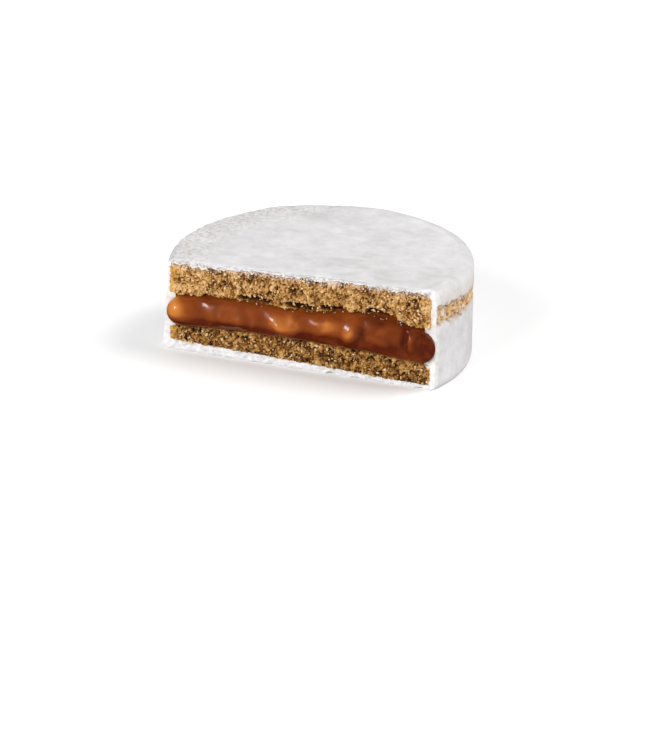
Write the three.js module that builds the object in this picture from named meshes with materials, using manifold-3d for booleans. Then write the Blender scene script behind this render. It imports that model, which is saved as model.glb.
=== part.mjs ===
// An iced alfajor with one side cut away: two round biscuits joined by caramel filling, in a white sugar coat.
// Millimetres, +Z up. +X runs along the cut, which faces -Y, and the origin is at the middle of the bottom of
// the box round the whole piece.

import * as THREE from 'three';
import { mergeVertices } from 'three/addons/utils/BufferGeometryUtils.js';
import Module from 'manifold-3d';

// Driving dimensions of the whole cookie.
const COOKIE_RADIUS = 32.5; // outside of the coat
const COOKIE_HEIGHT = 21; // outside of the coat, on the axis
const CUT_FROM_AXIS = 11.5; // the cut leaves more than half of the disc

// The coat of sugar icing.
const COAT_SIDE = 1.3;
const COAT_TOP = 1.0;
const COAT_BOTTOM = 1.5;
const COAT_TOP_ROUNDING = 1.8;
const COAT_BOTTOM_ROUNDING = 0.8;
const COAT_FOOT_FLARE = 0.5; // icing that ran down stands out this far at the left foot

// The layers inside it.
const LOWER_BISCUIT_TOP = 6.8; // height above the bottom of the coat, on the axis
const UPPER_BISCUIT_UNDERSIDE = 13.7;
const BISCUIT_ROUNDING = 1.6;
const BISCUIT_SHIFT = -0.2; // the biscuits sit this far off the coat's axis along X
const FILLING_INSET = 0.9; // the filling stops this far inside the biscuits' rim
const FILLING_ROUNDING = 1.2;
const LAYER_GAP = 0.3; // clearance between neighbouring pieces

// How uneven the cookie is.
const TOP_LEAN = 0.75; // the top is this much higher at the right rim than on the axis
const BOTTOM_COAT_LEAN = 0.75; // the bottom coat is this much thinner at the right rim
const BISCUIT_DOME = 1.4; // the lower biscuit falls this much from its middle to its rim
const REAR_SAG = 1.6; // the upper biscuit's underside is this much lower behind the axis
const OUTLINE_WOBBLE = 0.25;
const SURFACE_WAVE = 0.25;

// The filling pressed out of the cut.
const BULGE_REACH = 2.0; // how far it stands in front of the cut
const BULGE_LAP = 0.4; // how far it laps over each biscuit's cut edge
const BULGE_LUMP = 0.35; // size of its lumps
const BULGE_ROUND_ENDS = 3.4; // length of each rounded end

// The bare patch on the right of the wall, where the upper biscuit shows through the coat.
const PATCH_HEIGHT = 3.6;
const PATCH_DEPTH = 5.0; // radial size, centred on the coat's wall
const PATCH_FRONT_LEVEL = 16.9; // height of its middle at its front end
const PATCH_BACK_LEVEL = 13.0; // and at its back end
const PATCH_FRONT_ANGLE = THREE.MathUtils.degToRad(-18); // from +X towards +Y
const PATCH_BACK_ANGLE = THREE.MathUtils.degToRad(30);

// How finely the curved shapes are divided.
const DISC_SEGMENTS = 48;
const FACE_RINGS = 4;
const RIM_STEPS = 4;
const BULGE_STATIONS = 26;
const BULGE_SIDES = 14;
const PATCH_SIDES = 18;
const PATCH_RINGS = 10;

const BISCUIT_RADIUS = COOKIE_RADIUS - COAT_SIDE;
const CUT_Y = -CUT_FROM_AXIS;
const HALF_CUT = Math.sqrt(COOKIE_RADIUS ** 2 - CUT_FROM_AXIS ** 2);
const CUTTER_SIZE = 4 * COOKIE_RADIUS;

const wasm = await Module();
wasm.setup();

// --- uneven surfaces: each gives a height for a place on the cookie -------------------------------------

function bump(position, middle, width) {
  return Math.exp(-(((position - middle) / width) ** 2));
}

function gentleWave(x, y) {
  return SURFACE_WAVE * Math.sin(0.21 * x + 0.6) * Math.cos(0.17 * y + 0.4);
}

function coatTop(x, y) {
  return COOKIE_HEIGHT + (TOP_LEAN * x) / COOKIE_RADIUS + 0.6 * gentleWave(x, y);
}

function coatBottom() {
  return 0;
}

function lowerBiscuitBottom(x) {
  return COAT_BOTTOM - (BOTTOM_COAT_LEAN * x) / COOKIE_RADIUS;
}

function lowerBiscuitTop(x, y) {
  return LOWER_BISCUIT_TOP - BISCUIT_DOME * ((x * x + y * y) / COOKIE_RADIUS ** 2) + gentleWave(x, y);
}

function upperBiscuitUnderside(x, y) {
  const dipAtLeft = -1.1 * bump(x, -27, 10);
  const riseAtRight = 1.2 * bump(x, 14, 8);
  const sag = REAR_SAG * THREE.MathUtils.smoothstep(y, CUT_Y, COOKIE_RADIUS / 2);
  return UPPER_BISCUIT_UNDERSIDE + dipAtLeft + riseAtRight - sag + gentleWave(y, x);
}

function upperBiscuitTop(x, y) {
  return coatTop(x, y) - COAT_TOP;
}

// --- solids ----------------------------------------------------------------------------------------------

function toSolid(geometry) {
  const bare = geometry.clone();
  bare.deleteAttribute('normal');
  bare.deleteAttribute('uv');
  const merged = mergeVertices(bare, 1e-4);
  return new wasm.Manifold(
    new wasm.Mesh({
      numProp: 3,
      vertProperties: merged.attributes.position.array,
      triVerts: new Uint32Array(merged.index.array),
    }),
  );
}

function toGeometry(solid) {
  const made = solid.getMesh();
  const geometry = new THREE.BufferGeometry();
  geometry.setAttribute('position', new THREE.BufferAttribute(made.vertProperties.slice(), 3));
  geometry.setIndex(new THREE.BufferAttribute(made.triVerts.slice(), 1));
  geometry.computeVertexNormals();
  return geometry;
}

// Moves every vertex of a geometry to where the function puts it.
function warp(geometry, place) {
  const position = geometry.attributes.position;
  const point = new THREE.Vector3();
  for (let i = 0; i < position.count; i += 1) {
    point.fromBufferAttribute(position, i);
    place(point);
    position.setXYZ(i, point.x, point.y, point.z);
  }
  return geometry;
}

// The half section of a disc one unit high, from the axis at the bottom round the rim to the axis at the top.
// A point's second number is its share of the height, and the roundings are in the disc's own measure.
function discProfile(radius, height, lowRounding, highRounding) {
  const points = [];
  for (let ring = 0; ring < FACE_RINGS; ring += 1) {
    points.push(new THREE.Vector2(((radius - lowRounding) * ring) / FACE_RINGS, 0));
  }
  for (let step = 0; step <= RIM_STEPS; step += 1) {
    const turn = (step / RIM_STEPS) * (Math.PI / 2);
    const out = radius - lowRounding * (1 - Math.sin(turn));
    points.push(new THREE.Vector2(out, (lowRounding * (1 - Math.cos(turn))) / height));
  }
  for (let step = 0; step <= RIM_STEPS; step += 1) {
    const turn = (step / RIM_STEPS) * (Math.PI / 2);
    const out = radius - highRounding * (1 - Math.cos(turn));
    points.push(new THREE.Vector2(out, 1 - (highRounding * (1 - Math.sin(turn))) / height));
  }
  for (let ring = FACE_RINGS - 1; ring >= 0; ring -= 1) {
    points.push(new THREE.Vector2(((radius - highRounding) * ring) / FACE_RINGS, 1));
  }
  return points;
}

// A whole round layer between two uneven surfaces, grown outwards all round by the last value.
function discLayer({ radius, shift, flare, low, high, lowRounding, highRounding }, grow = 0) {
  const height = high(0, 0) - low(0, 0) + 2 * grow;
  const profile = discProfile(radius + grow, height, lowRounding + grow, highRounding + grow);
  const geometry = new THREE.LatheGeometry(profile, DISC_SEGMENTS).rotateX(Math.PI / 2);
  warp(geometry, (point) => {
    const share = point.z;
    const angle = Math.atan2(point.y, point.x);
    const swell = 1 + (OUTLINE_WOBBLE * Math.sin(3 * angle + 0.5)) / COOKIE_RADIUS;
    const leftness = Math.max(0, -point.x / COOKIE_RADIUS);
    const x = point.x * swell + shift - flare * leftness * (1 - share) ** 2;
    const y = point.y * swell;
    const bottom = low(x, y) - grow;
    const top = high(x, y) + grow;
    point.set(x, y, bottom + (top - bottom) * share);
  });
  return toSolid(geometry);
}

// A block that takes in everything in front of the given place on Y.
function blockInFrontOf(y) {
  return toSolid(new THREE.BoxGeometry(CUTTER_SIZE, CUTTER_SIZE, CUTTER_SIZE).translate(0, y - CUTTER_SIZE / 2, 0));
}

const LOWER_BISCUIT = {
  radius: BISCUIT_RADIUS,
  shift: BISCUIT_SHIFT,
  flare: 0,
  low: lowerBiscuitBottom,
  high: lowerBiscuitTop,
  lowRounding: BISCUIT_ROUNDING / 2,
  highRounding: BISCUIT_ROUNDING,
};

const UPPER_BISCUIT = {
  radius: BISCUIT_RADIUS,
  shift: BISCUIT_SHIFT,
  flare: 0,
  low: upperBiscuitUnderside,
  high: upperBiscuitTop,
  lowRounding: BISCUIT_ROUNDING,
  highRounding: BISCUIT_ROUNDING / 2,
};

const FILLING = {
  radius: BISCUIT_RADIUS - FILLING_INSET,
  shift: BISCUIT_SHIFT,
  flare: 0,
  low: (x, y) => lowerBiscuitTop(x, y) + LAYER_GAP,
  high: (x, y) => upperBiscuitUnderside(x, y) - LAYER_GAP,
  lowRounding: FILLING_ROUNDING,
  highRounding: FILLING_ROUNDING,
};

const COAT = {
  radius: COOKIE_RADIUS,
  shift: 0,
  flare: COAT_FOOT_FLARE,
  low: coatBottom,
  high: coatTop,
  lowRounding: COAT_BOTTOM_ROUNDING,
  highRounding: COAT_TOP_ROUNDING,
};

// The roll of filling that stands out of the cut: a spindle along X, flattened to the layer's own height,
// with lumps along it and rounded ends. Its stations crowd towards the ends, where it closes.
function fillingBulge() {
  const profile = [];
  for (let station = 0; station <= BULGE_STATIONS; station += 1) {
    const along = -Math.cos((station / BULGE_STATIONS) * Math.PI);
    const fromEnd = HALF_CUT * (1 - Math.abs(along));
    const closing = Math.min(1, fromEnd / BULGE_ROUND_ENDS);
    profile.push(new THREE.Vector2(Math.sqrt(1 - (1 - closing) ** 2), HALF_CUT * along));
  }
  const geometry = new THREE.LatheGeometry(profile, BULGE_SIDES).rotateZ(-Math.PI / 2);
  warp(geometry, (point) => {
    const { x } = point;
    const low = FILLING.low(x, CUT_Y) - BULGE_LAP;
    const high = FILLING.high(x, CUT_Y) + BULGE_LAP;
    const lump = BULGE_LUMP * (Math.sin(0.42 * x + 1) + 0.6 * Math.sin(1.05 * x));
    point.y = CUT_Y + point.y * (BULGE_REACH + lump);
    point.z = (low + high) / 2 + (point.z * (high - low)) / 2;
  });
  return toSolid(geometry);
}

// A lens-shaped cutter, bent round the coat's wall and sinking from its front end to its back end.
function barePatch() {
  const geometry = new THREE.SphereGeometry(1, PATCH_RINGS, PATCH_SIDES).rotateZ(Math.PI / 2);
  warp(geometry, (point) => {
    const share = (1 - point.x) / 2; // falls as X grows, so that the faces still point out
    const angle = THREE.MathUtils.lerp(PATCH_FRONT_ANGLE, PATCH_BACK_ANGLE, share);
    const level = THREE.MathUtils.lerp(PATCH_FRONT_LEVEL, PATCH_BACK_LEVEL, share);
    const out = COOKIE_RADIUS + (point.y * PATCH_DEPTH) / 2;
    point.set(out * Math.cos(angle), out * Math.sin(angle), level + (point.z * PATCH_HEIGHT) / 2);
  });
  return toSolid(geometry);
}

function makeCoat() {
  return [LOWER_BISCUIT, FILLING, UPPER_BISCUIT]
    .reduce((coat, layer) => coat.subtract(discLayer(layer, LAYER_GAP)), discLayer(COAT))
    .subtract(blockInFrontOf(CUT_Y))
    .subtract(barePatch());
}

function makeBiscuit(layer) {
  return discLayer(layer).subtract(blockInFrontOf(CUT_Y));
}

function makeFilling() {
  const slab = discLayer(FILLING).subtract(blockInFrontOf(CUT_Y - BULGE_REACH / 2));
  const bulge = fillingBulge().intersect(blockInFrontOf(CUT_Y - LAYER_GAP));
  return slab.add(bulge);
}

// --- the object ------------------------------------------------------------------------------------------

const icing = new THREE.MeshStandardMaterial({ color: 0xe6e4e6, roughness: 0.75, metalness: 0 });
const biscuit = new THREE.MeshStandardMaterial({ color: 0xb58a52, roughness: 0.9, metalness: 0 });
const caramel = new THREE.MeshStandardMaterial({ color: 0x8f431a, roughness: 0.25, metalness: 0 });

function piece(name, solid, material) {
  const mesh = new THREE.Mesh(toGeometry(solid), material);
  mesh.name = name;
  return mesh;
}

const alfajor = new THREE.Group();
alfajor.add(
  piece('sugar_coat', makeCoat(), icing),
  piece('lower_biscuit', makeBiscuit(LOWER_BISCUIT), biscuit),
  piece('caramel_filling', makeFilling(), caramel),
  piece('upper_biscuit', makeBiscuit(UPPER_BISCUIT), biscuit),
);

// The origin goes to the middle of the bottom of the box round every piece.
const box = new THREE.Box3().setFromObject(alfajor, true);
const middle = box.getCenter(new THREE.Vector3());
alfajor.position.set(-middle.x, -middle.y, -box.min.z);

export default alfajor;
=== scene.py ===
"""The looks of an iced alfajor with one side cut away.

Two open-crumbed biscuits, the roll of milk caramel pressed out between them, the dried sugar icing that
wraps them, and the loose crumbs and sugar grains of the cut. Sizes are in millimetres, and Blender's own
metres come only from MM. Places are measured from the cookie's axis, with the cut facing -Y.
"""

from __future__ import annotations

import logging
import math
import random
from dataclasses import dataclass
from enum import Enum
from typing import Callable, Iterable

import bmesh
import bpy
from mathutils import Matrix, Vector, noise


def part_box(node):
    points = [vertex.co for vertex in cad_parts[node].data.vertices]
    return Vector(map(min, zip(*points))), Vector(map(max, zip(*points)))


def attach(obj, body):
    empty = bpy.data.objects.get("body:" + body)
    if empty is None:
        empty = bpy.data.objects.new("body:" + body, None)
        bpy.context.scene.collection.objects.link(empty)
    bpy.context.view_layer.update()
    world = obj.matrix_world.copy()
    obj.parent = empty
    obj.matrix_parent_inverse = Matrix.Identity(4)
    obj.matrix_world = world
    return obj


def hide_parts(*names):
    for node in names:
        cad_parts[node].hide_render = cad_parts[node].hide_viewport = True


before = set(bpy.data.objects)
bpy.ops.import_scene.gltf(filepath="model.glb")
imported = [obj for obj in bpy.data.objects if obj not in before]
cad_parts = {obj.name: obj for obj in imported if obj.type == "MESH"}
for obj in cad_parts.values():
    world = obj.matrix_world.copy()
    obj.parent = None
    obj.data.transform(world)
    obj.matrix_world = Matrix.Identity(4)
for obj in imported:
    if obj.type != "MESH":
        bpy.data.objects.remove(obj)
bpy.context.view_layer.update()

MM = 0.001
ROOT_BODY = "root"
NOISE_SEED = 1
LOG = logging.getLogger("alfajor")


# --- small helpers ---


def ease(low: float, high: float, value: float) -> float:
    """Returns 0 at low and 1 at high, which may lie below low, and eases between them."""
    share = min(1.0, max(0.0, (value - low) / (high - low)))
    return share * share * (3.0 - 2.0 * share)


def mix(first: float, second: float, share: float) -> float:
    """Returns the value that lies the given share of the way from first to second."""
    return first + (second - first) * share


def bump(position: float, middle: float, width: float) -> float:
    """Returns a bell curve of height 1 round the middle."""
    return math.exp(-(((position - middle) / width) ** 2))


def wander(point: Vector, size: float, seed: float = 0.0) -> float:
    """Returns smooth noise from about -1 to 1, with its hills size mm apart."""
    return noise.noise(point / size + Vector((seed, 1.7 * seed, -seed)))


def cell_distance(point: Vector, size: float, seed: float = 0.0) -> float:
    """Returns the distance to the nearest of many scattered points, as a share of their spacing."""
    distances, _ = noise.voronoi(point / size + Vector((seed, -seed, 0.6 * seed)))
    return distances[0]


# --- finishes ---


def linear(hex_colour: str) -> tuple[float, float, float, float]:
    """Returns Blender's linear colour for an sRGB one of six hex digits after a hash."""
    values = [int(hex_colour[i : i + 2], 16) / 255 for i in (1, 3, 5)]
    return (*(v / 12.92 if v <= 0.04045 else ((v + 0.055) / 1.055) ** 2.4 for v in values), 1.0)


def add_node(
    tree: bpy.types.NodeTree,
    kind: str,
    settings: dict[str | int, object] | None = None,
    links: dict[str | int, bpy.types.NodeSocket] | None = None,
) -> bpy.types.Node:
    """Adds one shader node.

    Args:
        tree: the material's node tree.
        kind: the node's type name, without "ShaderNode".
        settings: values for the node's own properties or, where it has none of that name, its inputs.
        links: for each input, the output that feeds it.

    Returns:
        The new node.
    """
    node = tree.nodes.new("ShaderNode" + kind)
    for name, value in (settings or {}).items():
        if isinstance(name, str) and hasattr(node, name):
            setattr(node, name, value)
        else:
            node.inputs[name].default_value = value
    for name, source in (links or {}).items():
        tree.links.new(source, node.inputs[name])
    return node


def set_ramp(ramp: bpy.types.Node, stops: dict[float, str]) -> None:
    """Gives a colour ramp its stops.

    Args:
        ramp: the ColorRamp node.
        stops: an sRGB hex colour for each position.
    """
    elements = ramp.color_ramp.elements
    while len(elements) < len(stops):
        elements.new(0.5)
    for element, (position, colour) in zip(elements, sorted(stops.items())):
        element.position = position
        element.color = linear(colour)


def start_material(
    name: str, values: dict[str, object]
) -> tuple[bpy.types.Material, bpy.types.NodeTree, bpy.types.Node]:
    """Makes a material with one Principled shader.

    Args:
        name: what the real material is.
        values: the shader's inputs that are the same all over.

    Returns:
        The material, its tree and its shader.
    """
    material = bpy.data.materials.new(name)
    material.use_nodes = True
    shader = material.node_tree.nodes["Principled BSDF"]
    for socket, value in values.items():
        shader.inputs[socket].default_value = value
    return material, material.node_tree, shader


@dataclass(frozen=True)
class DriedSugarIcing:
    """Fondant glaze of icing sugar and egg white, brushed on and dried.

    Fine sugar crystals scatter light a short way below the surface, so it is a soft, slightly cool white
    with a dull, waxy shine. Where it is thin the biscuit warms it.
    """

    body: str = "#DAD8D9"
    chalky: str = "#E5E3E3"
    shaded: str = "#CBC8C8"
    over_biscuit: str = "#C9A983"
    speckle: str = "#A08C7A"
    powder: str = "#F3F1F0"
    roughness: float = 0.55
    scatter_mm: float = 0.9
    cloud_mm: float = 6.0
    brush_mm: float = 1.7
    speckle_mm: float = 0.75
    crystal_mm: float = 0.45

    def material(self) -> bpy.types.Material:
        """Builds the material, which reads the mesh's thin, speckled and powdery attributes."""
        material, tree, shader = start_material(
            "dried_sugar_icing",
            {
                "Roughness": self.roughness,
                "IOR": 1.48,
                "Subsurface Weight": 0.25,
                "Subsurface Radius": (1.0, 0.85, 0.7),
                "Subsurface Scale": self.scatter_mm * MM,
            },
        )
        place = add_node(tree, "TexCoord").outputs["Object"]
        # The brush went round by hand, so its strokes are drawn out to more than twice their width.
        stretch = {"Rotation": (0.0, 0.0, 0.5), "Scale": (0.42, 1.0, 1.0)}
        along = add_node(tree, "Mapping", stretch, {"Vector": place}).outputs["Vector"]
        clouds, strokes, grains, crystals, brushed = (
            add_node(
                tree,
                "TexNoise",
                {"Scale": 1 / (size * MM), "Detail": detail, "Roughness": rough, "Distortion": bent},
                {"Vector": vector},
            ).outputs["Fac"]
            for size, detail, rough, bent, vector in (
                (self.cloud_mm, 6.0, 0.68, 0.25, place),
                (self.brush_mm, 4.0, 0.6, 0.6, along),
                (self.speckle_mm, 3.0, 0.6, 0.0, place),
                (self.crystal_mm, 4.0, 0.7, 0.0, place),
                (self.brush_mm, 3.0, 0.5, 0.6, along),
            )
        )
        speckled, powdery, thin = (
            add_node(tree, "Attribute", {"attribute_name": name}).outputs["Fac"]
            for name in ("speckled", "powdery", "thin")
        )
        mixed = add_node(tree, "Mix", {"data_type": "FLOAT", 0: 0.28}, {2: clouds, 3: strokes})
        tint = add_node(tree, "ValToRGB", links={"Fac": mixed.outputs[0]})
        set_ramp(tint, {0.34: self.shaded, 0.5: self.body, 0.64: self.chalky})
        specks = add_node(tree, "MapRange", {"From Min": 0.46, "From Max": 0.66}, {"Value": grains})
        spotted = add_node(
            tree, "Math", {"operation": "MULTIPLY"}, {0: speckled, 1: specks.outputs["Result"]}
        )
        colour = tint.outputs["Color"]
        for cover, share in (
            (self.speckle, spotted.outputs["Value"]),
            (self.powder, powdery),
            (self.over_biscuit, thin),
        ):
            layer = add_node(tree, "Mix", {"data_type": "RGBA", 7: linear(cover)}, {0: share, 6: colour})
            colour = layer.outputs[2]
        tree.links.new(colour, shader.inputs["Base Color"])
        fine = add_node(
            tree, "Bump", {"Strength": 0.25, "Distance": 0.10 * MM}, {"Height": crystals}
        )
        coarse = add_node(
            tree,
            "Bump",
            {"Strength": 0.24, "Distance": 0.22 * MM},
            {"Height": brushed, "Normal": fine.outputs["Normal"]},
        )
        tree.links.new(coarse.outputs["Normal"], shader.inputs["Normal"])
        return material


@dataclass(frozen=True)
class BakedCrumb:
    """Honey and cocoa-tinged biscuit, baked dry and broken open by the knife.

    Its colour follows the crumb's relief as painted light and shade: pale gold on the high cell walls as
    painted highlight, and dark brown in the pores and hollows as painted shade.
    """

    # The darkest two colours are painted shade for the pores and hollows, the palest is painted highlight
    # on the high crumb, and wall is the crumb's own colour.
    pore: str = "#3F2009"
    shade: str = "#8C5E27"
    wall: str = "#CC9C5A"
    painted_ridge_highlight: str = "#EACB9C"
    sugar: str = "#F0E4DC"
    syrup: str = "#D9A64E"
    roughness: float = 0.85
    fleck_mm: float = 0.55

    def material(self) -> bpy.types.Material:
        """Builds the material, which reads the mesh's crumb tone with painted light and shade, and its
        syrup and sugared attributes.
        """
        material, tree, shader = start_material(
            "baked_biscuit_crumb", {"Roughness": self.roughness, "IOR": 1.45}
        )
        place = add_node(tree, "TexCoord").outputs["Object"]
        crumb_tone_and_painted_light = add_node(tree, "Attribute", {"attribute_name": "crumb_tone_and_painted_light"})
        flecks = add_node(
            tree,
            "TexNoise",
            {"Scale": 1 / (self.fleck_mm * MM), "Detail": 4.0, "Roughness": 0.75},
            {"Vector": place},
        )
        spread = add_node(
            tree,
            "MapRange",
            {"From Min": 0.25, "From Max": 0.75, "To Min": -0.22, "To Max": 0.22},
            {"Value": flecks.outputs["Fac"]},
        )
        tone = add_node(
            tree, "Math", {"operation": "ADD"}, {0: crumb_tone_and_painted_light.outputs["Fac"], 1: spread.outputs["Result"]}
        )
        baked = add_node(tree, "ValToRGB", links={"Fac": tone.outputs["Value"]})
        set_ramp(baked, {0.05: self.pore, 0.35: self.shade, 0.62: self.wall, 0.95: self.painted_ridge_highlight})
        colour = baked.outputs["Color"]
        for name, cover in (("syrup", self.syrup), ("sugared", self.sugar)):
            share = add_node(tree, "Attribute", {"attribute_name": name}).outputs["Fac"]
            layer = add_node(tree, "Mix", {"data_type": "RGBA", 7: linear(cover)}, {0: share, 6: colour})
            colour = layer.outputs[2]
        tree.links.new(colour, shader.inputs["Base Color"])
        grit = add_node(
            tree, "Bump", {"Strength": 0.5, "Distance": 0.12 * MM}, {"Height": flecks.outputs["Fac"]}
        )
        tree.links.new(grit.outputs["Normal"], shader.inputs["Normal"])
        return material


@dataclass(frozen=True)
class MilkCaramel:
    """Milk and sugar boiled down until it holds its shape.

    Smooth and sticky, with a wet shine, and cloudy enough that light goes a little way in and comes back
    orange. Its colour runs from a deep red-brown of painted shade to a bright orange of painted light.
    """

    # deep is the caramel in painted shade, lit the caramel in painted light, and body its own colour
    # between them.
    deep: str = "#561C07"
    body: str = "#8F4516"
    lit: str = "#DB8A3C"
    roughness: float = 0.24
    scatter_mm: float = 1.6
    streak_mm: float = 5.0

    def material(self) -> bpy.types.Material:
        """Builds the material, which reads the mesh's attribute of painted light and shade."""
        material, tree, shader = start_material(
            "milk_caramel",
            {
                "Roughness": self.roughness,
                "IOR": 1.49,
                "Coat Weight": 0.4,
                "Coat Roughness": 0.12,
                "Subsurface Weight": 0.12,
                "Subsurface Radius": (1.0, 0.35, 0.12),
                "Subsurface Scale": self.scatter_mm * MM,
            },
        )
        place = add_node(tree, "TexCoord").outputs["Object"]
        streaks = add_node(
            tree,
            "TexNoise",
            {"Scale": 1 / (self.streak_mm * MM), "Detail": 2.0, "Distortion": 0.8},
            {"Vector": place},
        )
        spread = add_node(
            tree,
            "MapRange",
            {"From Min": 0.3, "From Max": 0.7, "To Min": -0.15, "To Max": 0.15},
            {"Value": streaks.outputs["Fac"]},
        )
        caramel_painted_light = add_node(tree, "Attribute", {"attribute_name": "caramel_painted_light"})
        tone = add_node(
            tree, "Math", {"operation": "ADD"}, {0: caramel_painted_light.outputs["Fac"], 1: spread.outputs["Result"]}
        )
        colour = add_node(tree, "ValToRGB", links={"Fac": tone.outputs["Value"]})
        set_ramp(colour, {0.0: self.deep, 0.5: self.body, 1.0: self.lit})
        tree.links.new(colour.outputs["Color"], shader.inputs["Base Color"])
        return material


@dataclass(frozen=True)
class MattBoard:
    """Sprayed white studio board: even, pale and without shine."""

    colour: str = "#FDFDFD"

    def material(self) -> bpy.types.Material:
        """Builds the material."""
        values = {"Base Color": linear(self.colour), "Roughness": 0.95, "Specular IOR Level": 0.1}
        return start_material("matt_white_board", values)[0]


# --- the cookie's form ---


@dataclass
class CookieForm:
    """The shape that every layer follows: a disc with one side cut away, and its uneven layers.

    Places are in mm from the cookie's axis and from the surface it lies on.
    """

    radius: float = 32.5
    height: float = 21.0
    cut_from_axis: float = 11.5
    wobble: float = 0.25
    foot_flare: float = 1.3
    thin_left_wall: float = 0.65
    side_share: float = 0.27
    coat_top: float = 0.45
    coat_bottom: float = 1.5
    lower_top: float = 6.8
    lower_dome: float = 1.4
    upper_underside: float = 13.7
    lean: float = 0.75
    wave_height: float = 0.25
    top_waviness: float = 0.6
    cut_swell: float = 0.55

    def half_cut(self, radius: float) -> float:
        """Returns half the length of the cut through a disc of the given radius."""
        return math.sqrt(radius**2 - self.cut_from_axis**2)

    def swell(self, angle: float) -> float:
        """Returns how much the hand-made outline grows at an angle, as a factor."""
        return 1 + self.wobble * math.sin(3 * angle + 0.5) / self.radius

    def on_arc(self, angle: float, radius: float) -> Vector:
        """Returns the place on the round outline at an angle from +X towards +Y."""
        return Vector((math.cos(angle), math.sin(angle))) * radius

    def plan(self, u: float, v: float, radius: float) -> Vector:
        """Spreads a square over the cut disc.

        The square's front side goes to the cut, and its other three sides share the arc.

        Args:
            u: from 0 at the left to 1 at the right.
            v: from 0 at the cut to 1 at the back.
            radius: the disc's radius.

        Returns:
            X and Y.
        """
        corner = math.asin(self.cut_from_axis / radius)
        side = (math.pi + 2 * corner) * self.side_share
        left_angle = math.pi + corner
        front_left, front_right = self.on_arc(left_angle, radius), self.on_arc(-corner, radius)
        back_left = self.on_arc(left_angle - side, radius)
        back_right = self.on_arc(side - corner, radius)
        chord = front_left.lerp(front_right, u)
        back = self.on_arc(mix(left_angle - side, side - corner, u), radius)
        left = self.on_arc(left_angle - side * v, radius)
        right = self.on_arc(side * v - corner, radius)
        corners = chord.lerp(back_left.lerp(back_right, u), v)
        place = chord.lerp(back, v) + left.lerp(right, u) - corners
        grown = place * self.swell(math.atan2(place.y, place.x))
        # The swell fades out at the cut, so that the cut stays flat.
        return Vector((grown.x, mix(place.y, grown.y, ease(0.0, 0.1, v))))

    def wave(self, x: float, y: float) -> float:
        """Returns the slow unevenness of the layers."""
        return self.wave_height * math.sin(0.21 * x + 0.6) * math.cos(0.17 * y + 0.4)

    def top(self, x: float, y: float) -> float:
        """Returns the height of the coat's top, which leans up to the right and swells at the cut."""
        swell = ease(-28.0, 12.0, x) * ease(8.0, -self.cut_from_axis, y)
        level = self.height + self.lean * x / self.radius
        return level + self.top_waviness * self.wave(x, y) + self.cut_swell * swell

    def thinning(self, x: float, v: float) -> float:
        """Returns how far the layers inside the coat reach into its thin wall at the cut's left end."""
        return self.thin_left_wall * ease(-16.0, -28.0, x) * ease(0.25, 0.0, v)

    def ground(self, x: float, y: float) -> float:
        """Returns the height of the coat's underside."""
        return 0.0

    def lower_biscuit_bottom(self, x: float, y: float) -> float:
        """Returns the height of the lower biscuit's underside."""
        return self.coat_bottom - self.lean * x / self.radius

    def lower_biscuit_top(self, x: float, y: float) -> float:
        """Returns the height of the lower biscuit's domed top."""
        return self.lower_top - self.lower_dome * (x * x + y * y) / self.radius**2 + self.wave(x, y)

    def upper_biscuit_bottom(self, x: float, y: float) -> float:
        """Returns the height of the upper biscuit's underside, which sags behind the axis."""
        dip = 1.1 * bump(x, -27, 10)
        rise = 1.2 * bump(x, 14, 8)
        sag = 1.6 * ease(-self.cut_from_axis, self.radius / 2, y)
        return self.upper_underside - dip + rise - sag + self.wave(y, x)

    def upper_biscuit_top(self, x: float, y: float) -> float:
        """Returns the height of the upper biscuit's top."""
        return self.top(x, y) - self.coat_top

    def origin(self) -> Vector:
        """Returns the cookie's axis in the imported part's frame, in mm, from the coat's own box."""
        low, high = (corner / MM for corner in map(Vector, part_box("sugar_coat")))
        return Vector((high.x - self.radius - self.wobble / 2, low.y + self.cut_from_axis, low.z))


# --- mesh building ---


def grid_block(cuts: tuple[int, int, int]) -> bmesh.types.BMesh:
    """Makes a block from 0 to 1 along X, Y and Z, divided into a grid.

    Args:
        cuts: how many times its edges along X, Y and Z are cut.

    Returns:
        The block's mesh.
    """
    bm = bmesh.new()
    bmesh.ops.create_cube(bm, size=1.0, matrix=Matrix.Translation((0.5, 0.5, 0.5)))
    for axis, count in enumerate(cuts):
        along = [e for e in bm.edges if abs(e.verts[0].co[axis] - e.verts[1].co[axis]) > 1e-6]
        bmesh.ops.subdivide_edges(bm, edges=along, cuts=count, use_grid_fill=True)
    return bm


def refine(bm: bmesh.types.BMesh, wanted: Callable[[Vector], bool], times: int = 1) -> None:
    """Divides every face whose middle passes the test.

    Args:
        bm: the mesh.
        wanted: says whether a place belongs to the finer part.
        times: how often each such face is halved both ways.
    """
    for _ in range(times):
        # A dict keeps the edges in the faces' order, as a set would not.
        edges = dict.fromkeys(e for f in bm.faces if wanted(f.calc_center_median()) for e in f.edges)
        bmesh.ops.subdivide_edges(bm, edges=list(edges), cuts=1, use_grid_fill=True)


def round_corner(inward: float, down: float, radius: float) -> tuple[float, float]:
    """Rounds a square corner of a section, and moves what lies behind it along.

    Args:
        inward: distance from the wall.
        down: distance from the top or the underside.
        radius: the rounding's radius.

    Returns:
        The two distances after rounding.
    """
    if inward >= radius or down >= radius:
        return inward, down
    a, b = 1 - inward / radius, 1 - down / radius
    return radius * (1 - a * math.sqrt(1 - b * b / 2)), radius * (1 - b * math.sqrt(1 - a * a / 2))


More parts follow.
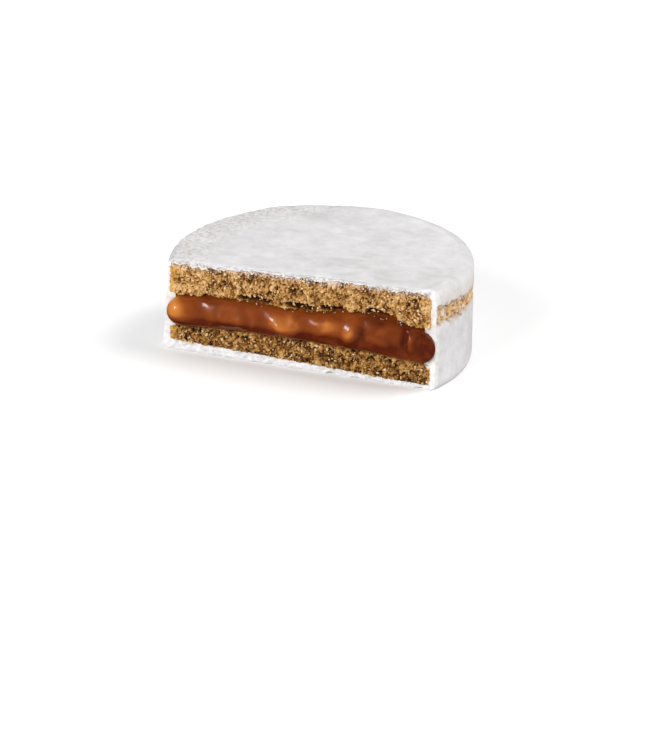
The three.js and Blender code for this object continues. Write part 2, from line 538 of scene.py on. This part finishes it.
@dataclass
class Slab:
    """One layer's plain form between two uneven surfaces."""

    form: CookieForm
    radius: float
    low: Callable[[float, float], float]
    high: Callable[[float, float], float]
    low_rounding: float
    high_rounding: float
    flare: float = 0.0
    crowding: float = 1.25

    def shape(self, verts: Iterable[bmesh.types.BMVert]) -> None:
        """Moves a unit block's vertices onto the layer.

        Args:
            verts: the vertices, with X, Y and Z from 0 to 1.
        """
        for vert in verts:
            u, v, w = vert.co
            vert.co = self.place(u, v**self.crowding, w)

    def place(self, u: float, v: float, w: float) -> Vector:
        """Returns where a place of the unit block goes."""
        x, y = self.form.plan(u, v, self.radius)
        low, high = self.low(x, y), self.high(x, y)
        z = mix(low, high, w)
        angle = math.atan2(y, x)
        reach = self.radius * self.form.swell(angle)
        out = math.hypot(x, y)
        inward, down = round_corner(reach - out, high - z, self.high_rounding)
        inward, up = round_corner(inward, high - down - low, self.low_rounding)
        scale = (reach - inward) / out if out > 1e-6 else 1.0
        leftness = max(0.0, -x / self.form.radius) * ease(20.0, -8.0, y)
        flare = self.flare * leftness * (1 - w) ** 1.5
        if self.radius < self.form.radius:
            flare += self.form.thinning(x, v)
        if v < 1e-6:
            # On the cut only X moves, so that the cut stays flat.
            wide = math.sqrt(max(0.0, (reach - inward) ** 2 - y * y))
            return Vector((math.copysign(min(wide, abs(x)), x) - flare, y, low + up))
        return Vector((x * scale - flare, y * scale, low + up))


@dataclass
class Piece:
    """One visible piece of the cookie."""

    form: CookieForm
    name: str

    def mesh(self) -> bmesh.types.BMesh:
        """Returns the piece's mesh, in mm from the cookie's axis."""
        raise NotImplementedError

    def add(self, origin: Vector, material: bpy.types.Material, slot: str, node: str | None) -> None:
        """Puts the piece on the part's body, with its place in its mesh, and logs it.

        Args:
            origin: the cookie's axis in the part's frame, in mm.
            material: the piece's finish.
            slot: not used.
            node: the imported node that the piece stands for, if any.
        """
        bm = self.mesh()
        bmesh.ops.translate(bm, verts=bm.verts, vec=origin)
        bmesh.ops.scale(bm, verts=bm.verts, vec=(MM, MM, MM))
        mesh = bpy.data.meshes.new(self.name)
        bm.to_mesh(mesh)
        bm.free()
        mesh.materials.append(material)
        mesh.shade_smooth()
        piece = bpy.data.objects.new(self.name, mesh)
        bpy.context.scene.collection.objects.link(piece)
        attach(piece, ROOT_BODY)
        if node:
            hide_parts(node)
        triangles = sum(len(polygon.vertices) - 2 for polygon in mesh.polygons)
        LOG.info("%s: %d triangles", self.name, triangles)


# --- the bare patch ---


@dataclass(frozen=True)
class BarePatch:
    """The strip of the wall where the icing is rubbed off and the upper biscuit shows.

    It runs round the right side from just behind the cut and sinks as it goes. Angles are in degrees from
    +X towards +Y, and sizes in mm.
    """

    front_angle: float = -19.5
    back_angle: float = 33.0
    front_level: float = 16.7
    back_level: float = 14.0
    length: float = 25
    height: float = 4.1
    fade: float = 0.9
    worn: float = 1.0
    worn_less: float = 0.62

    def along(self, place: Vector) -> float:
        """Returns how far round the patch a place lies, from 0 at its front end to 1 at its back."""
        angle = math.degrees(math.atan2(place.y, place.x))
        return (angle - self.front_angle) / (self.back_angle - self.front_angle)

    def share(self, place: Vector) -> float:
        """Gives how bare the wall is.

        Args:
            place: the place on the wall, in mm from the axis.

        Returns:
            1 inside the patch and 0 outside, with a ragged edge.
        """
        if place.x <= 0:
            return 0.0
        along = self.along(place)
        middle = mix(self.front_level, self.back_level, along)
        half = 0.5 * self.height * (1 - 0.6 * max(0.0, along) ** 1.5)
        ragged = 0.7 * wander(place, 1.5, 4.0) + 0.8 * wander(place, 0.6, 9.0)
        across = half - abs(place.z - middle) + ragged
        lengthwise = min(along, 1 - along) * self.length + 0.5 * ragged
        return ease(-self.fade / 2, self.fade / 2, min(across, lengthwise))

    def touches(self, place: Vector) -> bool:
        """Says whether a place lies in the patch or on its ragged edge."""
        return self.share(place) > 0.02

    def depth(self, place: Vector) -> float:
        """Returns how deep the icing is worn away, in mm: less and less towards the back."""
        return self.worn * (1 - self.worn_less * ease(0.35, 0.8, self.along(place)))

    def warmth(self, place: Vector) -> float:
        """Returns how much biscuit shows through the thin icing round the patch, mostly above it."""
        if place.x <= 0:
            return 0.0
        along = self.along(place)
        above = bump(place.z, mix(self.front_level, self.back_level, along) + 1.6, 2.6)
        return above * ease(-0.05, 0.1, along) * ease(1.35, 0.9, along)


# --- the biscuits ---


@dataclass(frozen=True)
class Hollow:
    """A place on the cut where the crumb broke away."""

    x: float
    z: float
    wide: float
    tall: float
    deep: float
    slope: float = 0.0

    def depth(self, x: float, z: float) -> float:
        """Returns how deep it is at a place on the cut, with soft edges."""
        level = self.z + self.slope * (x - self.x)
        away = math.hypot((x - self.x) / self.wide, (z - level) / self.tall)
        return self.deep * ease(1.0, 0.6, away)


@dataclass
class OpenCrumb:
    """The torn surface of a cut biscuit: thin broken cell walls, grains between them, and pores."""

    cell: float = 1.15
    fine_cell: float = 0.5
    grain: float = 0.62
    pore: float = 1.2
    cave: float = 3.3
    chunk: float = 2.7
    seed: float = 0.0

    def height(self, point: Vector) -> float:
        """Gives how far the torn crumb stands out of the cut.

        Args:
            point: the place, in mm.

        Returns:
            The height in mm, negative in pores.
        """
        warped = point + 0.4 * noise.noise_vector(point * 1.6 + Vector((self.seed, 0, 0)))
        clusters = 0.4 * wander(point, 2.6, self.seed)
        bent = point + 1.2 * noise.noise_vector(point / 1.5)
        (near, next_near, *_), _ = noise.voronoi(bent / self.chunk)
        cracks = -0.26 * ease(0.14, 0.02, next_near - near)
        walls = 0.34 * (0.45 - abs(wander(warped, self.cell, self.seed + 1)) * 2)
        fine_walls = 0.28 * (0.45 - abs(wander(warped, self.fine_cell, self.seed + 2)) * 2)
        grains = 0.34 * (0.45 - cell_distance(warped, self.grain, self.seed))
        grit = 0.2 * wander(point, 0.27, self.seed + 5)
        pores = -0.42 * ease(0.4, 0.16, cell_distance(warped, self.pore, self.seed + 7))
        caves = -0.7 * ease(0.2, 0.08, cell_distance(warped, self.cave, self.seed + 11))
        return clusters + cracks + walls + fine_walls + grains + grit + pores + caves


@dataclass
class Biscuit(Piece):
    """One of the two biscuits, with the open crumb of its cut face.

    Sizes are in mm. Faces on the cut are halved face_levels times from about 1 mm.
    """

    low: Callable[[float, float], float]
    high: Callable[[float, float], float]
    crumb: OpenCrumb
    hollows: tuple[Hollow, ...] = ()
    patch: BarePatch | None = None
    coat_side: float = 1.15
    # Paleness lifts the whole crumb tone; the lower biscuit's lower value is painted shade under the roll
    # of filling.
    paleness_with_painted_shade: float = 0.5
    rounding: float = 0.5
    patch_rise: float = 0.33
    columns: int = 72
    rows: int = 26
    layers: int = 7
    face_levels: int = 3
    face_zone: float = 0.6
    wall_zone: float = 0.7

    def mesh(self) -> bmesh.types.BMesh:
        """Returns the biscuit's mesh."""
        bm = grid_block((self.columns, self.rows, self.layers))
        radius = self.form.radius - self.coat_side
        Slab(self.form, radius, self.low, self.high, self.rounding, self.rounding).shape(bm.verts)
        cut = -self.form.cut_from_axis
        refine(bm, lambda p: p.y < cut + self.face_zone, self.face_levels)
        if self.patch:
            inside = radius - self.wall_zone
            refine(bm, lambda p: math.hypot(p.x, p.y) > inside and self.patch.touches(p), 2)
        self.roughen(bm, cut)
        return bm

    def roughen(self, bm: bmesh.types.BMesh, cut: float) -> None:
        """Tears the cut face and the bare patch open, and colours each place by how deep it lies, as
        painted shade in the deep places and painted highlight on the high ones.

        Args:
            bm: the biscuit's mesh, in mm from the axis.
            cut: the cut's place on Y.
        """
        crumb_tone_and_painted_light = bm.verts.layers.float.new("crumb_tone_and_painted_light")
        syrup = bm.verts.layers.float.new("syrup")
        sugared = bm.verts.layers.float.new("sugared")
        for vert in bm.verts:
            place = vert.co.copy()
            near = ease(cut + 0.8, cut + 0.05, place.y)
            bare = self.patch.share(place) if self.patch and near <= 0.0 else 0.0
            vert[crumb_tone_and_painted_light] = 0.5
            if near > 0.0:
                wall = self.form.half_cut(self.form.radius - self.coat_side) - abs(place.x)
                kept = ease(1.2, 0.2, wall + 0.5 * wander(place, 0.9, 60.0))
                height = self.crumb.height(place) * (1 - 0.35 * kept) + 0.2 * kept
                missing = max((hollow.depth(place.x, place.z) for hollow in self.hollows), default=0.0)
                below = self.form.upper_biscuit_top(place.x, place.y) - place.z
                speck = 0.5 + wander(place, 0.55, 44.0) + 0.6 * wander(place, 1.7, 46.0)
                vert[sugared] = 0.8 * min(1.0, max(0.0, speck)) * ease(1.7, 0.1, below)
                sideways = 0.16 * noise.noise_vector(place * 1.6)
                vert.co += near * Vector((sideways.x, missing - height, sideways.z))
                # The crumb's tone is its random batch tone plus painted light and shade: lighter where the
                # crumb stands out, darker in pores and in the broken hollows above the filling.
                batch = 0.2 * wander(place, 2.6, 62.0) + 0.12 * wander(place, 1.1, 64.0)
                tone = self.paleness_with_painted_shade + batch + 0.62 * height - 0.4 * missing
                vert[crumb_tone_and_painted_light] = mix(0.5, min(1.0, max(0.0, tone)), near)
                vert[syrup] = 0.6 * ease(-27.2, -29.4, place.x + 0.8 * wander(place, 1.5))
            elif bare > 0.0:
                height = self.crumb.height(place)
                out = Vector((place.x, place.y, 0.0)).normalized()
                proud = self.coat_side - self.patch.depth(place) + self.patch_rise
                vert.co += bare * (proud + 0.5 * height) * out
                # The patch's crumb is painted lighter where it stands out and darker in its pores, as
                # painted light and shade.
                vert[crumb_tone_and_painted_light] = mix(0.5, min(1.0, max(0.0, 0.66 + 0.7 * height)), bare)
                vert[sugared] = min(1.0, max(0.0, 0.16 + 0.8 * wander(place, 0.9, 48.0)))


# --- the filling ---


@dataclass(frozen=True)
class Lump:
    """A soft rise, or with a negative out a dent, on the roll of filling.

    x is its place along the cut in mm, level its height on the roll from -1 to 1, lean how far its top
    leans to the right, and the rest its size.
    """

    x: float
    level: float
    wide: float
    tall: float
    out: float
    lean: float = 0.0

    def rise(self, x: float, level: float) -> float:
        """Returns how far it pushes the surface out at a place on the roll."""
        along = (x - self.x - self.lean * (level - self.level)) / self.wide
        return self.out * math.exp(-(along**2) - ((level - self.level) / self.tall) ** 2)


@dataclass
class CaramelFilling(Piece):
    """The layer of caramel and the soft roll that the knife pressed out of it."""

    inset: float = 1.4
    reach: float = 1.9
    lap: float = -0.2
    end_length: float = 3.6
    stand_off: float = 0.1
    overhang: float = 0.1
    rounding: float = 0.5
    columns: int = 60
    rows: int = 14
    layers: int = 9
    lumps: tuple[Lump, ...] = (
        Lump(-27.3, 0.1, 2.4, 1.0, 0.5),
        Lump(-22.6, 0.3, 1.8, 0.9, -0.5),
        Lump(-17.1, -0.15, 1.2, 0.4, 0.34),
        Lump(-13.0, -0.2, 1.4, 0.4, 0.4),
        Lump(-15.0, -0.85, 6.0, 0.4, -0.45),
        Lump(-8.0, 0.4, 1.8, 0.6, -0.4),
        Lump(-3.6, -0.1, 1.9, 0.55, 0.8, -1.6),
        Lump(-1.0, 0.15, 1.4, 0.9, 0.35),
        Lump(1.6, -0.15, 1.8, 0.9, -0.38),
        Lump(7.0, 0.4, 3.2, 0.45, 0.4),
        Lump(6.0, -0.6, 4.5, 0.4, -0.6),
        Lump(11.9, 0.0, 1.5, 0.8, 0.75, 1.4),
        Lump(14.2, 0.0, 1.1, 0.9, -0.5),
        Lump(18.8, -0.1, 2.6, 0.8, 0.35),
        Lump(23.9, 0.2, 0.8, 0.8, -0.75),
        Lump(25.3, 0.1, 0.7, 0.8, 0.35),
        Lump(27.8, -0.1, 1.2, 0.45, -0.9),
    )

    def mesh(self) -> bmesh.types.BMesh:
        """Returns the filling's mesh."""
        bm = grid_block((self.columns, self.rows, self.layers))
        refine(bm, lambda place: place.y < 1e-3, 2)
        slab = Slab(
            self.form,
            self.form.radius - self.inset,
            lambda x, y: self.form.lower_biscuit_top(x, y) - self.overhang,
            lambda x, y: self.form.upper_biscuit_bottom(x, y) + self.overhang,
            self.rounding,
            self.rounding,
        )
        caramel_painted_light = bm.verts.layers.float.new("caramel_painted_light")
        for vert in bm.verts:
            u, v, w = vert.co
            if v > 1e-6:
                vert.co = slab.place(u, v**slab.crowding, w)
                vert[caramel_painted_light] = 0.5
            else:
                vert.co, vert[caramel_painted_light] = self.roll(2 * u - 1, 2 * w - 1)
        return bm

    def roll(self, across: float, level: float) -> tuple[Vector, float]:
        """Places one point of the roll that stands out of the cut.

        Args:
            across: from -1 at the left end to 1 at the right.
            level: from -1 at the foot to 1 at the top.

        Returns:
            The place in mm, and the caramel's painted light there, with low values for painted shade.
        """
        half = self.form.half_cut(self.form.radius) - 0.1
        flat = half - self.end_length
        x = across * half
        # The ends of the square turn into half discs.
        past = max(0.0, (abs(x) - flat) / self.end_length)
        if past > 0.0:
            rounded = past * math.sqrt(1 - level * level / 2)
            level *= math.sqrt(1 - past * past / 2)
            x = math.copysign(flat + rounded * self.end_length, x)
            past = rounded
        # The roll sags, so it stands out most a little under its middle.
        out = min(1.0, math.hypot(past, level + 0.18 * (1 - level**2 - past**2)))
        cut = -self.form.cut_from_axis
        low = self.form.lower_biscuit_top(x, cut) - self.lap + 0.1 * wander(Vector((x, 0, 3)), 2.2)
        high = self.form.upper_biscuit_bottom(x, cut) + self.lap
        high = high - 0.3 + 0.15 * wander(Vector((x, 0, 9)), 1.7)
        dome = (1 - out**2.3) ** 0.5
        lumps = sum(lump.rise(x, level) for lump in self.lumps)
        slow = 0.12 * wander(Vector((x, 5.0, level * 3)), 2.5)
        reach = self.reach * dome + (lumps + slow) * min(1.0, 1.6 * dome)
        z = mix(low, high, 0.5 + 0.5 * level)
        # Painted light and shade: lighter at the left end, on the upper side and on the lumps, darker
        # towards the right, at the foot and along the top edge under the biscuit.
        left_painted_light = 0.33 * ease(-24.5, -29.5, x) + 0.14 * bump(x, 0.0, 9.0)
        right_painted_shade = 0.15 * ease(12.0, 15.0, x) + 0.08 * ease(20.0, 27.0, x)
        foot_and_top_painted_shade = 0.55 * ease(0.05, -0.8, level) + 0.16 * ease(0.45, 1.0, level)
        caramel_painted_light = 0.33 + left_painted_light - right_painted_shade - foot_and_top_painted_shade + 0.12 * level + 0.45 * lumps
        return Vector((x, cut - self.stand_off - reach, z)), min(1.0, max(0.0, caramel_painted_light))


# --- the coat ---


@dataclass
class SugarCoat(Piece):
    """The icing all round: top, wall and underside, open at the cut and thin over one patch of the wall."""

    patch: BarePatch
    side: float = 1.3
    top_rounding: float = 1.35
    foot_rounding: float = 0.8
    inner_rounding: float = 0.5
    edge_zone: float = 2.4
    skin: float = 0.42
    columns: int = 60
    rows: int = 40
    layers: int = 20

    def mesh(self) -> bmesh.types.BMesh:
        """Returns the coat's mesh."""
        form = self.form
        foot, top, inside = self.foot_rounding, self.top_rounding, self.inner_rounding
        bm = self.half_shell(Slab(form, form.radius, form.ground, form.top, foot, top, form.foot_flare))
        low, high = form.lower_biscuit_bottom, form.upper_biscuit_top
        inner = self.half_shell(Slab(form, form.radius - self.side, low, high, inside, inside))
        bmesh.ops.reverse_faces(inner, faces=inner.faces)
        cavity = bpy.data.meshes.new("cavity")
        inner.to_mesh(cavity)
        inner.free()
        bm.from_mesh(cavity)
        bpy.data.meshes.remove(cavity)
        rim = bmesh.ops.bridge_loops(bm, edges=[e for e in bm.edges if e.is_boundary])
        bmesh.ops.recalc_face_normals(bm, faces=bm.faces)
        across = [e for e in rim["edges"] if e.is_valid]
        bmesh.ops.subdivide_edges(bm, edges=across, cuts=2, use_grid_fill=True)
        cut = -form.cut_from_axis
        refine(bm, self.is_outside)
        refine(bm, lambda p: p.y < cut + self.edge_zone and self.is_outside(p))
        refine(bm, lambda p: self.is_outside(p) and self.patch.touches(p))
        self.weather(bm, cut)
        return bm

    def half_shell(self, slab: Slab) -> bmesh.types.BMesh:
        """Returns a layer's skin, open at the cut."""
        bm = grid_block((self.columns, self.rows, self.layers))
        lid = [f for f in bm.faces if f.calc_center_median().y < 1e-6]
        bmesh.ops.delete(bm, geom=lid, context="FACES")
        slab.shape(bm.verts)
        return bm

    def is_outside(self, place: Vector) -> bool:
        """Says whether a place lies on the coat's outside or on its broken edge."""
        inward = self.form.radius - math.hypot(place.x, place.y)
        down = self.form.top(place.x, place.y) - place.z
        return min(inward, down, place.z) < self.skin or place.y < 1e-3 - self.form.cut_from_axis

    def weather(self, bm: bmesh.types.BMesh, cut: float) -> None:
        """Gives the icing its brushed top, ragged broken edge, beaded foot and bare patch.

        Args:
            bm: the coat's mesh, in mm from the axis.
            cut: the cut's place on Y.
        """
        bm.normal_update()
        thin = bm.verts.layers.float.new("thin")
        speckled = bm.verts.layers.float.new("speckled")
        powdery = bm.verts.layers.float.new("powdery")
        moves = []
        for vert in bm.verts:
            place = vert.co.copy()
            if not self.is_outside(place):
                continue
            at_cut = ease(cut + 1.0, cut, place.y)
            on_cut = place.y < cut + 1e-3
            bare = 0.0 if on_cut else self.patch.share(place)
            swirl = 0.10 * wander(place, 5.5, 2.0) + 0.05 * wander(place, 2.0, 6.0)
            out = math.hypot(place.x, place.y)
            upper = ease(16.0, 18.5, place.z)
            rear_left = ease(2.0, -14.0, place.x) * ease(20.0, 28.0, out) * upper
            lumpy = 0.14 * rear_left * wander(place, 1.2, 3.0)
            shoulder = bump(out, self.form.radius - 2.4, 0.8) * ease(5.0, 16.0, place.x)
            lumpy += 0.28 * shoulder * upper
            move = vert.normal * (swirl + lumpy) * (0.3 if on_cut else 1.0)
            if bare > 0.0:
                inward = Vector((-place.x, -place.y, 0.0)).normalized()
                move += bare * self.patch.depth(place) * inward
            move += self.ragged_edge(place, at_cut, on_cut)
            moves.append((vert, move))
            edge_warmth = at_cut * ease(2.5, 9.0, place.z) * ease(19.5, 18.5, place.z)
            warmth = 0.3 * self.patch.warmth(place)
            warmth += 0.35 * edge_warmth * (0.5 + 0.5 * wander(place, 1.0, 8.0))
            vert[thin] = min(1.0, warmth + 0.75 * bare)
            brittle = 0.6 + 0.8 * wander(place, 0.8, 50.0)
            vert[powdery] = min(1.0, max(0.0, brittle)) * ease(cut + 1.6, cut + 0.2, place.y)
            vert[speckled] = 0.5 * rear_left
        for vert, move in moves:
            vert.co += move
            vert.co.z = max(vert.co.z, 0.0)

    def ragged_edge(self, place: Vector, at_cut: float, on_cut: bool) -> Vector:
        """Gives how the broken edge of the icing strays from the knife's line.

        Args:
            place: the place, in mm from the axis.
            at_cut: how near the cut is, from 0 to 1.
            on_cut: whether the place is on the broken face itself.

        Returns:
            The move, in mm.
        """
        if at_cut <= 0.0:
            return Vector()
        top = self.form.top(place.x, place.y)
        high = ease(top - 1.6, top - 0.2, place.z)
        foot = ease(2.4, 1.4, place.z)
        chips = 0.28 * wander(place, 1.6, 12.0) + 0.08 * wander(place, 0.6, 15.0)
        back = at_cut * (0.12 + chips) * (1.0 if high > 0 else 0.5)
        beads = 0.45 * (0.45 - cell_distance(place, 0.95, 21.0))
        beads += 0.2 * (0.45 - cell_distance(place, 0.5, 23.0))
        move = Vector((0.0, back, 0.0))
        move.y -= foot * at_cut * (beads + 0.1)
        move.z += foot * at_cut * max(0.0, 0.75 * wander(place, 2.8, 30.0)) * ease(1.2, 0.0, place.z)
        if on_cut:
            low_gap = self.form.lower_biscuit_top(place.x, place.y)
            high_gap = self.form.upper_biscuit_bottom(place.x, place.y)
            beside = ease(low_gap - 1.2, low_gap, place.z)
            beside *= ease(high_gap + 1.2, high_gap, place.z)
            inner = ease(0.25, 0.75, self.form.half_cut(self.form.radius) - abs(place.x))
            move.x -= math.copysign(1.1 * beside * inner, place.x)
        if on_cut and high > 0.0:
            # The inner edge of the broken icing hangs over the crumb in small torn flakes.
            inner = ease(0.05, 0.4, top - place.z)
            flakes = 0.8 * wander(place, 1.9, 33.0) + 0.55 * wander(place, 0.7, 35.0) + 0.2
            flakes += 0.6 * wander(place, 5.5, 38.0)
            move.z -= inner * max(-0.2, flakes)
            move.y += 0.4 * (1 - inner) - 0.3 * inner
        return move


# --- loose grains ---


class Scatter(Enum):
    """Where a kind of loose grain lies."""

    CUT_FACES = "on the torn faces of both biscuits"
    ICING_EDGE = "along the icing's broken top edge"
    FILLING_EDGE = "in the gap above the filling"


@dataclass
class LooseGrains(Piece):
    """Small broken grains of one kind, joined into one mesh. Sizes are in mm."""

    where: Scatter
    count: int
    smallest: float
    largest: float
    seed: int

    def mesh(self) -> bmesh.types.BMesh:
        """Returns the grains' mesh."""
        chance = random.Random(self.seed)
        bm = bmesh.new()
        crumb_tone_and_painted_light = bm.verts.layers.float.new("crumb_tone_and_painted_light")
        for _ in range(self.count):
            size = mix(self.smallest, self.largest, chance.random() ** 2)
            place = self.spot(chance, size)
            turn = Matrix.Rotation(chance.uniform(0, math.tau), 4, Vector((chance.random(), 1.0, 0.3)))
            squash = Matrix.Diagonal((chance.uniform(0.7, 1.6), chance.uniform(0.5, 1.0), 1.0, 1.0))
            matrix = Matrix.Translation(place) @ turn @ squash
            grain = bmesh.ops.create_icosphere(bm, subdivisions=1, radius=size / 2, matrix=matrix)
            tone = chance.uniform(0.45, 0.95)
            for vert in grain["verts"]:
                away = vert.co - place
                vert.co += away * 1.1 * wander(vert.co, 0.4 * size, 40.0)
                vert[crumb_tone_and_painted_light] = tone
        bmesh.ops.recalc_face_normals(bm, faces=bm.faces)
        return bm

    def spot(self, chance: random.Random, size: float) -> Vector:
        """Draws a place for one grain."""
        cut = -self.form.cut_from_axis
        x = chance.uniform(-29.0, 29.0)
        if self.where is Scatter.ICING_EDGE:
            below = chance.uniform(0.1, 0.7) + 1.2 * chance.random() ** 5
            return Vector((x, cut - chance.uniform(0.0, 0.35), self.form.top(x, cut) - below))
        if self.where is Scatter.FILLING_EDGE:
            x = chance.choice((chance.uniform(-15.0, 11.0), chance.uniform(14.0, 23.0)))
            z = self.form.upper_biscuit_bottom(x, cut) + chance.uniform(-0.35, 0.25)
            return Vector((x, cut - chance.uniform(0.2, 0.6), z))
        if chance.random() < 0.6:
            low, high = self.form.upper_biscuit_bottom(x, cut) + 0.8, self.form.upper_biscuit_top(x, cut)
        else:
            low, high = self.form.lower_biscuit_bottom(x, cut), self.form.lower_biscuit_top(x, cut) - 0.5
        return Vector((x, cut - 0.1 - chance.uniform(0, 0.4) * size, chance.uniform(low, high)))


# --- the studio ---


@dataclass
class Studio:
    """A pale floor, soft lights and a long lens."""

    azimuth: float = 20.33
    elevation: float = 22.89
    roll: float = 0.78
    distance: float = 1.0
    lens: float = 225.6
    look_below: float = 0.865
    look_right: float = 0.136
    floor_size: float = 6.0
    sky_strength: float = 0.5

    def camera(self, form: CookieForm, origin: Vector) -> None:
        """Adds the camera.

        Args:
            form: the cookie's form.
            origin: the cookie's axis in the part's frame, in mm.
        """
        turn, rise, roll = (math.radians(a) for a in (self.azimuth, self.elevation, self.roll))
        back = Vector((math.sin(turn) * math.cos(rise), -math.cos(turn) * math.cos(rise), math.sin(rise)))
        level = Vector((math.cos(turn), math.sin(turn), 0.0))
        upright = back.cross(level)
        right = math.cos(roll) * level + math.sin(roll) * upright
        up = math.cos(roll) * upright - math.sin(roll) * level
        aim = (origin + Vector((0.0, 10.0 - form.cut_from_axis, 11.0))) * MM
        aside, below = (math.tan(math.radians(a)) for a in (self.look_right, self.look_below))
        seen = Vector((-aside, below, -1.0))
        offset = seen.rotation_difference(Vector((0.0, 0.0, -1.0))).to_matrix()
        axes = Matrix((right, up, back)).transposed() @ offset
        lens = bpy.data.cameras.new("camera")
        lens.lens = self.lens
        camera = bpy.data.objects.new("camera", lens)
        camera.matrix_world = Matrix.LocRotScale(aim + back * self.distance, axes.to_quaternion(), None)
        bpy.context.scene.collection.objects.link(camera)
        bpy.context.scene.camera = camera

    def floor(self) -> None:
        """Adds the floor that the cookie lies on."""
        bm = bmesh.new()
        bmesh.ops.create_grid(bm, x_segments=1, y_segments=1, size=self.floor_size / 2)
        mesh = bpy.data.meshes.new("floor")
        bm.to_mesh(mesh)
        bm.free()
        mesh.materials.append(MattBoard().material())
        board = bpy.data.objects.new("floor", mesh)
        board.visible_glossy = False
        bpy.context.scene.collection.objects.link(board)

    def light(
        self, name: str, place: tuple[float, float, float], size: float, power: float, mirrored: bool
    ) -> None:
        """Adds one soft box that faces the cookie.

        Args:
            name: the light's name.
            place: its place in metres.
            size: the side of its square, in metres.
            power: its power in watts.
            mirrored: whether it shows in glossy surfaces.
        """
        lamp = bpy.data.lights.new(name, "AREA")
        lamp.size = size
        lamp.energy = power
        box = bpy.data.objects.new(name, lamp)
        box.location = place
        box.rotation_euler = (-Vector(place)).to_track_quat("-Z", "Y").to_euler()
        box.visible_glossy = mirrored
        bpy.context.scene.collection.objects.link(box)

    def lights(self) -> None:
        """Adds the soft boxes and the pale surroundings."""
        self.light("key_behind_right", (0.66, 0.34, 0.85), 0.7, 8.0, False)
        self.light("fill_front_left", (-0.4, -0.9, 0.55), 0.6, 6.6, False)
        self.light("sparkle_front_left", (-0.7, -0.68, 0.3), 0.16, 1.5, True)
        world = bpy.data.worlds.new("surroundings")
        world.use_nodes = True
        sky = world.node_tree.nodes["Background"].inputs
        sky["Color"].default_value = (1.0, 1.0, 1.0, 1.0)
        sky["Strength"].default_value = self.sky_strength
        bpy.context.scene.world = world
        world.cycles_visibility.glossy = False

    def build(self, form: CookieForm, origin: Vector) -> None:
        """Sets up the floor, the lights and the camera."""
        self.floor()
        self.lights()
        self.camera(form, origin)
        bpy.context.scene.view_settings.view_transform = "Standard"


def main() -> None:
    """Builds every piece, dresses it and hides the imported part that it stands for."""
    logging.basicConfig(level=logging.INFO, format="%(name)s %(message)s")
    # Vector noise is shifted by a draw that the clock seeds, unless it is seeded here.
    noise.seed_set(NOISE_SEED)
    form = CookieForm()
    patch = BarePatch()
    origin = form.origin()
    Studio().build(form, origin)
    crumb = BakedCrumb().material()
    icing = DriedSugarIcing().material()
    caramel = MilkCaramel().material()
    upper = Biscuit(
        form,
        "upper_biscuit_crumb",
        form.upper_biscuit_bottom,
        form.upper_biscuit_top,
        OpenCrumb(seed=1.0),
        (
            Hollow(-21.0, 13.0, 1.6, 0.8, 1.6),
            Hollow(-10.3, 14.2, 4.6, 0.8, 2.0),
            Hollow(-0.3, 14.3, 4.0, 0.9, 2.0),
            Hollow(7.4, 14.9, 3.6, 0.8, 2.0),
            Hollow(18.5, 15.0, 4.4, 1.2, 2.4, -0.25),
            Hollow(26.2, 17.2, 0.5, 1.9, 0.9, -1.0),
        ),
        patch,
        paleness_with_painted_shade=0.6,
        layers=8,
    )
    low, high = form.lower_biscuit_bottom, form.lower_biscuit_top
    # The lower biscuit's crumb is painted darker, as painted shade under the filling.
    lower = Biscuit(form, "lower_biscuit_crumb", low, high, OpenCrumb(seed=5.0), paleness_with_painted_shade=0.42, layers=5)
    crumbs = LooseGrains(form, "loose_crumbs", Scatter.CUT_FACES, 900, 0.2, 0.7, 7)
    chips = LooseGrains(form, "icing_chips", Scatter.ICING_EDGE, 420, 0.15, 0.4, 11)
    sugar = LooseGrains(form, "sugar_grains", Scatter.FILLING_EDGE, 30, 0.14, 0.34, 13)
    for piece, finish, slot, node in (
        (upper, crumb, "biscuit", "upper_biscuit"),
        (lower, crumb, "biscuit", "lower_biscuit"),
        (CaramelFilling(form, "caramel_roll"), caramel, "caramel", "caramel_filling"),
        (SugarCoat(form, "sugar_icing", patch), icing, "icing", "sugar_coat"),
        (crumbs, crumb, "biscuit", None),
        (chips, icing, "icing", None),
        (sugar, icing, "icing", None),
    ):
        piece.add(origin, finish, slot, node)


if __name__ == "__main__":
    main()
